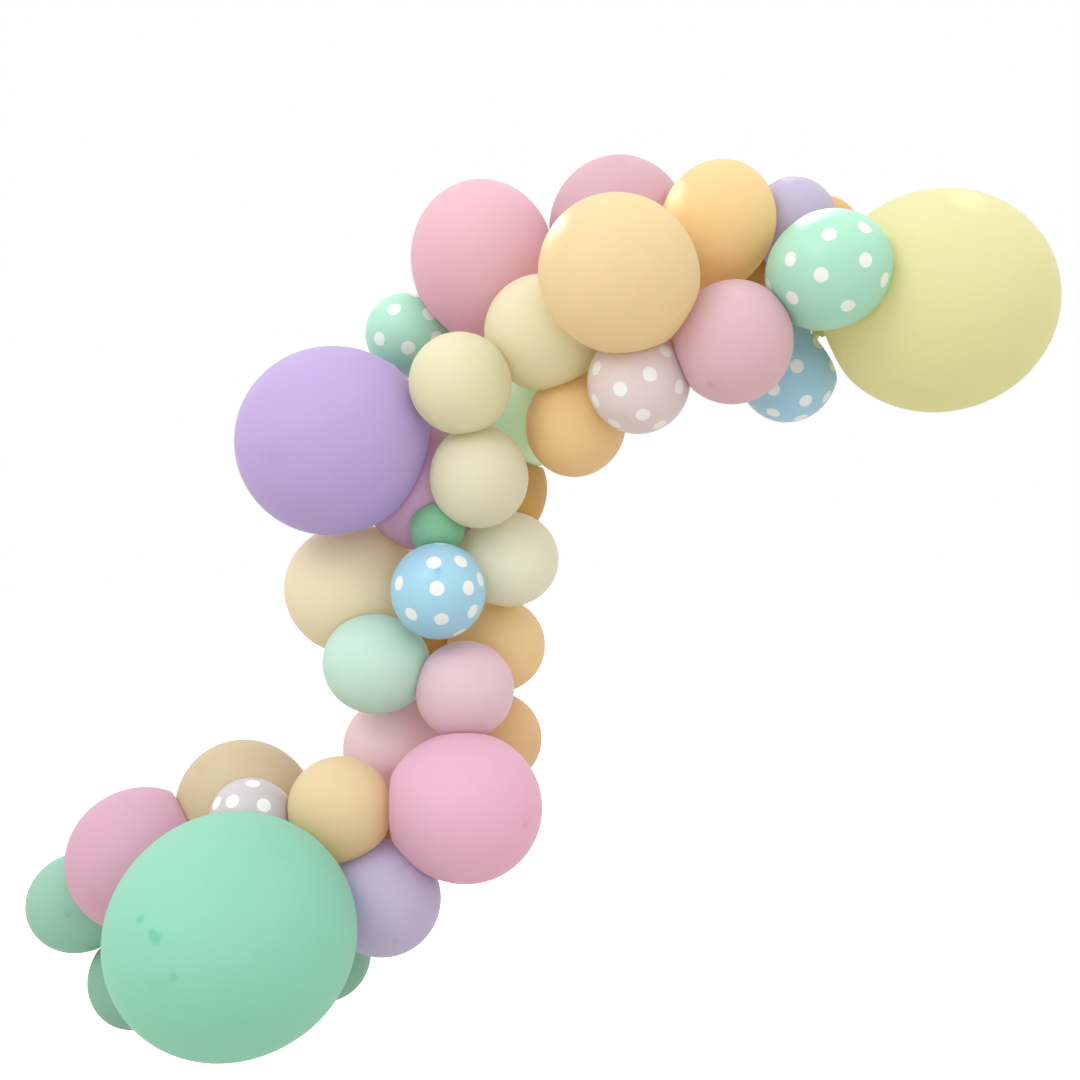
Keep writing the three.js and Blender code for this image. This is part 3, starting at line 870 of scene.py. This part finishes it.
def make_tape(settings):
    """The clear tape with its row of round holes."""
    sizes = settings.sizes
    middle = smooth_route(TAPE_ROUTE)
    run = np.concatenate([[0], np.cumsum(np.linalg.norm(np.diff(middle, axis=0), axis=1))])
    ahead = np.gradient(middle, run, axis=0)
    ahead /= np.linalg.norm(ahead, axis=1)[:, None]
    count = round(run[-1] / sizes.hole_pitch)
    pitch = run[-1] / count
    edge, hole = tape_cell(pitch, sizes.hole_across)
    points = len(edge)
    shape = bmesh.new()
    for cell in range(count):
        rows = []
        for ring in (edge, hole):
            along = np.clip((cell + 0.5) * pitch + ring[:, 0], 0, run[-1])
            across = ring[:, 1]
            x, z, ahead_x, ahead_z = (
                np.interp(along, run, values) for values in (*middle.T, *ahead.T)
            )
            for y in (0.0, -TAPE_THICKNESS):
                rows.append([
                    shape.verts.new((px - w * az, y, pz + w * ax))
                    for px, pz, ax, az, w in zip(x, z, ahead_x, ahead_z, across)
                ])
        back, front, hole_back, hole_front = rows
        for k in range(points):
            n = (k + 1) % points
            shape.faces.new((front[k], front[n], hole_front[n], hole_front[k]))
            shape.faces.new((back[n], back[k], hole_back[k], hole_back[n]))
            shape.faces.new((hole_front[k], hole_front[n], hole_back[n], hole_back[k]))
            middle_of_edge = (edge[k] + edge[n]) / 2
            on_side = abs(abs(middle_of_edge[1]) - TAPE_WIDTH / 2) < SAME_PLACE
            at_start = cell == 0 and abs(middle_of_edge[0] + pitch / 2) < SAME_PLACE
            at_end = cell == count - 1 and abs(middle_of_edge[0] - pitch / 2) < SAME_PLACE
            if on_side or at_start or at_end:
                shape.faces.new((front[n], front[k], back[k], back[n]))
    bmesh.ops.remove_doubles(shape, verts=shape.verts, dist=1e-5)
    bmesh.ops.recalc_face_normals(shape, faces=shape.faces)
    mesh = bpy.data.meshes.new("tape_strip")
    shape.to_mesh(mesh)
    shape.free()
    mesh.materials.append(clear_plastic(settings))
    piece = bpy.data.objects.new("tape_strip", mesh)
    bpy.context.scene.collection.objects.link(piece)
    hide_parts(TAPE_NODE)
    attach(piece, "root")


def make_group(settings, detail, wanted):
    """Makes the balloons that a group holds, all with the same fineness of mesh."""
    balloons = [Balloon(name) for name in BALLOON_NODES]
    group = [balloon for balloon in balloons if wanted(balloon)]
    if not group:
        raise RuntimeError("the frame holds none of these balloons")
    for balloon in group:
        make_balloon(balloon, detail, settings, balloons)


def is_printed(balloon):
    return balloon.name in DOTS_SEEN


class GARLAND_OT_printed_balloons(bpy.types.Operator):
    """Make the glossier balloons with printed dots"""

    bl_idname = "garland.printed_balloons"
    bl_label = "Dotted balloons"

    def execute(self, context):
        make_group(context.scene.garland, PRINTED_MESH, is_printed)
        return {"FINISHED"}


class GARLAND_OT_small_balloons(bpy.types.Operator):
    """Make the small plain balloons"""

    bl_idname = "garland.small_balloons"
    bl_label = "Small balloons"

    def execute(self, context):
        make_group(context.scene.garland, SMALL_MESH, lambda b: not b.large and not is_printed(b))
        return {"FINISHED"}


class GARLAND_OT_large_balloons(bpy.types.Operator):
    """Make the large plain balloons"""

    bl_idname = "garland.large_balloons"
    bl_label = "Large balloons"

    def execute(self, context):
        make_group(context.scene.garland, LARGE_MESH, lambda b: b.large and b.radius < GIANT_FROM)
        return {"FINISHED"}


class GARLAND_OT_giant_balloons(bpy.types.Operator):
    """Make the giant plain balloons"""

    bl_idname = "garland.giant_balloons"
    bl_label = "Giant balloons"

    def execute(self, context):
        make_group(context.scene.garland, GIANT_MESH, lambda b: b.radius >= GIANT_FROM)
        return {"FINISHED"}


class GARLAND_OT_tape(bpy.types.Operator):
    """Make the clear tape that the balloons are tied along"""

    bl_idname = "garland.tape"
    bl_label = "Tape"

    def execute(self, context):
        make_tape(context.scene.garland)
        return {"FINISHED"}


def add_camera():
    """The camera that sees the garland as the photograph does."""
    data = bpy.data.cameras.new("photo_camera")
    data.lens = CAMERA_LENS
    data.sensor_width = CAMERA_SENSOR
    data.clip_end = CAMERA_REACH
    camera = bpy.data.objects.new("photo_camera", data)
    camera.location = CAMERA_AT
    camera.rotation_euler = (math.pi / 2, 0, 0)
    bpy.context.scene.collection.objects.link(camera)
    bpy.context.scene.camera = camera


def add_key_lamp(power):
    """The large soft lamp at the upper left."""
    data = bpy.data.lights.new("key_lamp", "AREA")
    data.size = KEY_ACROSS
    data.energy = power
    lamp = bpy.data.objects.new("key_lamp", data)
    lamp.location = KEY_AT
    lamp.rotation_euler = (Vector(KEY_AIM) - Vector(KEY_AT)).to_track_quat("-Z", "Y").to_euler()
    bpy.context.scene.collection.objects.link(lamp)


def add_glint(name, place, toward, reach, power):
    """A narrow lamp that lights one spot on a balloon."""
    toward = Vector(toward)
    data = bpy.data.lights.new("glint_" + name, "SPOT")
    data.energy = power
    data.spot_size = 2 * math.atan(reach / toward.length)
    data.spot_blend = GLINT_BLEND
    data.shadow_soft_size = GLINT_LAMP_RADIUS
    lamp = bpy.data.objects.new("glint_" + name, data)
    lamp.location = Vector(place) + toward
    lamp.rotation_euler = (-toward).to_track_quat("-Z", "Y").to_euler()
    bpy.context.scene.collection.objects.link(lamp)


def add_sky(studio):
    """White light all round, brightest from above, in front of a plain white backdrop."""
    world = bpy.data.worlds.new("studio_sky")
    world.use_nodes = True
    tree = world.node_tree
    ground = tree.nodes["Background"]
    way = add_node(tree, "ShaderNodeTexCoord").outputs["Generated"]
    height = add_node(tree, "ShaderNodeSeparateXYZ", {"Vector": way}).outputs["Z"]
    level = add_node(
        tree, "ShaderNodeMapRange",
        {"Value": height, "From Max": BRIGHTEST_AT, "To Min": studio.sides, "To Max": studio.sky},
    ).outputs["Result"]
    seen = add_node(tree, "ShaderNodeLightPath").outputs["Is Camera Ray"]
    strength = add_node(
        tree, "ShaderNodeMix", {"Factor": seen, "A": level, "B": 1.0}, data_type="FLOAT"
    ).outputs["Result"]
    ground.inputs["Color"].default_value = (1, 1, 1, 1)
    tree.links.new(strength, ground.inputs["Strength"])
    bpy.context.scene.world = world


def add_floor(studio):
    """A wide, pale, matte floor below the garland."""
    low = min(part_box(name)[0].z for name in BALLOON_NODES)
    level = low - studio.floor_drop
    mesh = bpy.data.meshes.new("studio_floor")
    signs = ((-1, -1), (1, -1), (1, 1), (-1, 1))
    corners = [(x * FLOOR_REACH, y * FLOOR_REACH, level) for x, y in signs]
    mesh.from_pydata(corners, [], [(0, 1, 2, 3)])
    material = bpy.data.materials.new("floor_paint")
    material.use_nodes = True
    tree = material.node_tree
    shader = tree.nodes["Principled BSDF"]
    place = add_node(tree, "ShaderNodeTexCoord").outputs["Object"]
    cloud = add_node(tree, "ShaderNodeTexNoise", {"Vector": place, "Scale": 0.8}).outputs["Fac"]
    darker, lighter = ((shade, shade, shade, 1) for shade in FLOOR_SHADES)
    tint = add_node(
        tree, "ShaderNodeMix", {"Factor": cloud, "A": darker, "B": lighter}, data_type="RGBA"
    ).outputs["Result"]
    seen = add_node(tree, "ShaderNodeLightPath").outputs["Is Camera Ray"]
    tint = add_node(
        tree, "ShaderNodeMix", {"Factor": seen, "A": (*studio.bounce, 1), "B": tint}, data_type="RGBA"
    ).outputs["Result"]
    glow = add_node(
        tree, "ShaderNodeMath", {0: seen, 1: studio.floor_glow}, operation="MULTIPLY"
    ).outputs["Value"]
    tree.links.new(tint, shader.inputs["Base Color"])
    tree.links.new(glow, shader.inputs["Emission Strength"])
    shader.inputs["Emission Color"].default_value = (1, 1, 1, 1)
    shader.inputs["Roughness"].default_value = 0.9
    shader.inputs["Specular IOR Level"].default_value = 0.1
    mesh.materials.append(material)
    floor = bpy.data.objects.new("studio_floor", mesh)
    bpy.context.scene.collection.objects.link(floor)


class GARLAND_OT_stage(bpy.types.Operator):
    """Add the camera, the soft light and the pale floor"""

    bl_idname = "garland.stage"
    bl_label = "Stage"

    def execute(self, context):
        studio = context.scene.garland.studio
        context.scene.view_settings.view_transform = "Standard"
        add_camera()
        add_sky(studio)
        add_floor(studio)
        add_key_lamp(studio.key)
        for name, (place, toward, reach, share) in GLINTS.items():
            add_glint(name, place, toward, reach, share * studio.glint)
        return {"FINISHED"}


class GARLAND_PT_panel(bpy.types.Panel):
    """Buttons for each group of pieces, with the sizes and colours"""

    bl_idname = "GARLAND_PT_panel"
    bl_label = "Balloon garland"
    bl_space_type = "VIEW_3D"
    bl_region_type = "UI"
    bl_category = "Garland"

    def draw(self, context):
        settings = context.scene.garland
        for operator in OPERATORS:
            self.layout.operator(operator.bl_idname)
        for group in (settings.finishes, settings.sizes, settings.studio):
            box = self.layout.box()
            for name in group.__annotations__:
                box.prop(group, name)


OPERATORS = (
    GARLAND_OT_stage,
    GARLAND_OT_printed_balloons,
    GARLAND_OT_small_balloons,
    GARLAND_OT_large_balloons,
    GARLAND_OT_giant_balloons,
    GARLAND_OT_tape,
)
CLASSES = (GarlandFinishes, GarlandSizes, GarlandStudio, GarlandSettings, *OPERATORS, GARLAND_PT_panel)


def register():
    for cls in CLASSES:
        bpy.utils.register_class(cls)
    bpy.types.Scene.garland = bpy.props.PointerProperty(type=GarlandSettings)


def unregister():
    del bpy.types.Scene.garland
    for cls in reversed(CLASSES):
        bpy.utils.unregister_class(cls)


def main():
    register()
    bpy.ops.garland.stage()
    bpy.ops.garland.printed_balloons()
    bpy.ops.garland.small_balloons()
    bpy.ops.garland.large_balloons()
    bpy.ops.garland.giant_balloons()
    bpy.ops.garland.tape()


if __name__ == "__main__":
    main()
